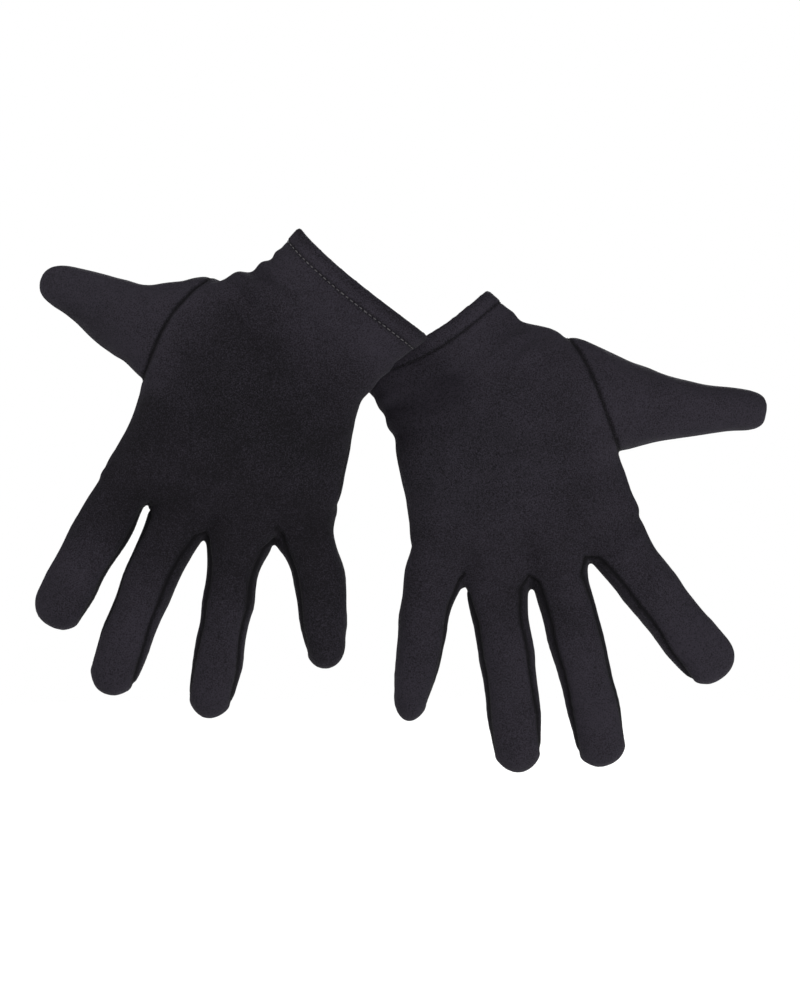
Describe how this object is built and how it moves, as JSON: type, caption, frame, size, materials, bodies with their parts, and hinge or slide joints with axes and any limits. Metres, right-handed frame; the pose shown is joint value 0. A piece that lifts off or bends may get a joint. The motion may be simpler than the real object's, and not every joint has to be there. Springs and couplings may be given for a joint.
{
  "type": "pair of gloves",
  "caption": "Pair of short black stretch-knit gloves with separate thumbs, side strips between the fingers and a turned cuff hem.",
  "frame": {"origin": "middle of the right glove's cuff mouth, where the right wrist goes in", "axes": "+X across the pair towards the right thumb, +Z towards the wrists with the fingers pointing down, +Y on the palm side, so the backs of the hands face -Y"},
  "size_m": [0.3093, 0.0519, 0.2277],
  "materials": {
    "right_cloth": "matte",
    "right_hem": "matte",
    "right_side_cloth": "matte",
    "left_cloth": "matte",
    "left_hem": "matte",
    "left_side_cloth": "matte"
  },
  "bodies": {
    "right_hand": {"right_trank": "right_cloth", "right_cuff_hem": "right_hem", "right_web_index_middle": "right_side_cloth", "right_web_middle_ring": "right_side_cloth", "right_web_ring_little": "right_side_cloth"},
    "left_hand": {"left_trank": "left_cloth", "left_cuff_hem": "left_hem", "left_web_index_middle": "left_side_cloth", "left_web_middle_ring": "left_side_cloth", "left_web_ring_little": "left_side_cloth"},
    "left_index": {"left_index_stall": "left_cloth", "left_index_strip_far": "left_side_cloth"},
    "left_middle": {"left_middle_back": "left_cloth", "left_middle_front": "left_cloth", "left_middle_strip_near": "left_side_cloth", "left_middle_strip_far": "left_side_cloth"},
    "left_ring": {"left_ring_back": "left_cloth", "left_ring_front": "left_cloth", "left_ring_strip_near": "left_side_cloth", "left_ring_strip_far": "left_side_cloth"},
    "left_little": {"left_little_back": "left_cloth", "left_little_front": "left_cloth", "left_little_strip_near": "left_side_cloth"},
    "left_thumb": {"left_thumb": "left_cloth"},
    "right_index": {"right_index_stall": "right_cloth", "right_index_strip_far": "right_side_cloth"},
    "right_middle": {"right_middle_back": "right_cloth", "right_middle_front": "right_cloth", "right_middle_strip_near": "right_side_cloth", "right_middle_strip_far": "right_side_cloth"},
    "right_ring": {"right_ring_back": "right_cloth", "right_ring_front": "right_cloth", "right_ring_strip_near": "right_side_cloth", "right_ring_strip_far": "right_side_cloth"},
    "right_little": {"right_little_back": "right_cloth", "right_little_front": "right_cloth", "right_little_strip_near": "right_side_cloth"},
    "right_thumb": {"right_thumb": "right_cloth"}
  },
  "joints": [
    {"name": "left_glove_off_right", "type": "slide", "parent": "right_hand", "child": "left_hand", "axis": [0, -1, 0], "range_m": [0, 0.08]},
    {"name": "left_index_bend", "type": "hinge", "parent": "left_hand", "child": "left_index", "pos_m": [-0.13247, 0.0037, -0.08165], "axis": [0.8625, 0, -0.506], "range_deg": [0, 70]},
    {"name": "left_middle_bend", "type": "hinge", "parent": "left_hand", "child": "left_middle", "pos_m": [-0.10967, 0.0037, -0.09545], "axis": [0.9212, 0, -0.3891], "range_deg": [0, 70]},
    {"name": "left_ring_bend", "type": "hinge", "parent": "left_hand", "child": "left_ring", "pos_m": [-0.0797, 0.0037, -0.10383], "axis": [0.986, 0, -0.1668], "range_deg": [0, 70]},
    {"name": "left_little_bend", "type": "hinge", "parent": "left_hand", "child": "left_little", "pos_m": [-0.04529, 0.0037, -0.09904], "axis": [0.9949, 0, 0.1011], "range_deg": [0, 70]},
    {"name": "left_thumb_fold", "type": "hinge", "parent": "left_hand", "child": "left_thumb", "pos_m": [-0.1024, -0.0073, -0.0008], "axis": [-0.5592, 0, -0.829], "range_deg": [0, 45]},
    {"name": "right_index_bend", "type": "hinge", "parent": "right_hand", "child": "right_index", "pos_m": [0.08943, 0.0037, -0.10136], "axis": [0.7716, 0, 0.6361], "range_deg": [0, 70]},
    {"name": "right_middle_bend", "type": "hinge", "parent": "right_hand", "child": "right_middle", "pos_m": [0.06202, 0.0037, -0.11749], "axis": [0.974, 0, 0.2266], "range_deg": [0, 70]},
    {"name": "right_ring_bend", "type": "hinge", "parent": "right_hand", "child": "right_ring", "pos_m": [0.03346, 0.0037, -0.12331], "axis": [0.9925, 0, 0.1219], "range_deg": [0, 70]},
    {"name": "right_little_bend", "type": "hinge", "parent": "right_hand", "child": "right_little", "pos_m": [0.00347, 0.0037, -0.11681], "axis": [0.9842, 0, -0.1771], "range_deg": [0, 70]},
    {"name": "right_thumb_fold", "type": "hinge", "parent": "right_hand", "child": "right_thumb", "pos_m": [0.0727, 0.0017, -0.0279], "axis": [-0.4152, 0, 0.9097], "range_deg": [0, 45]}
  ]
}
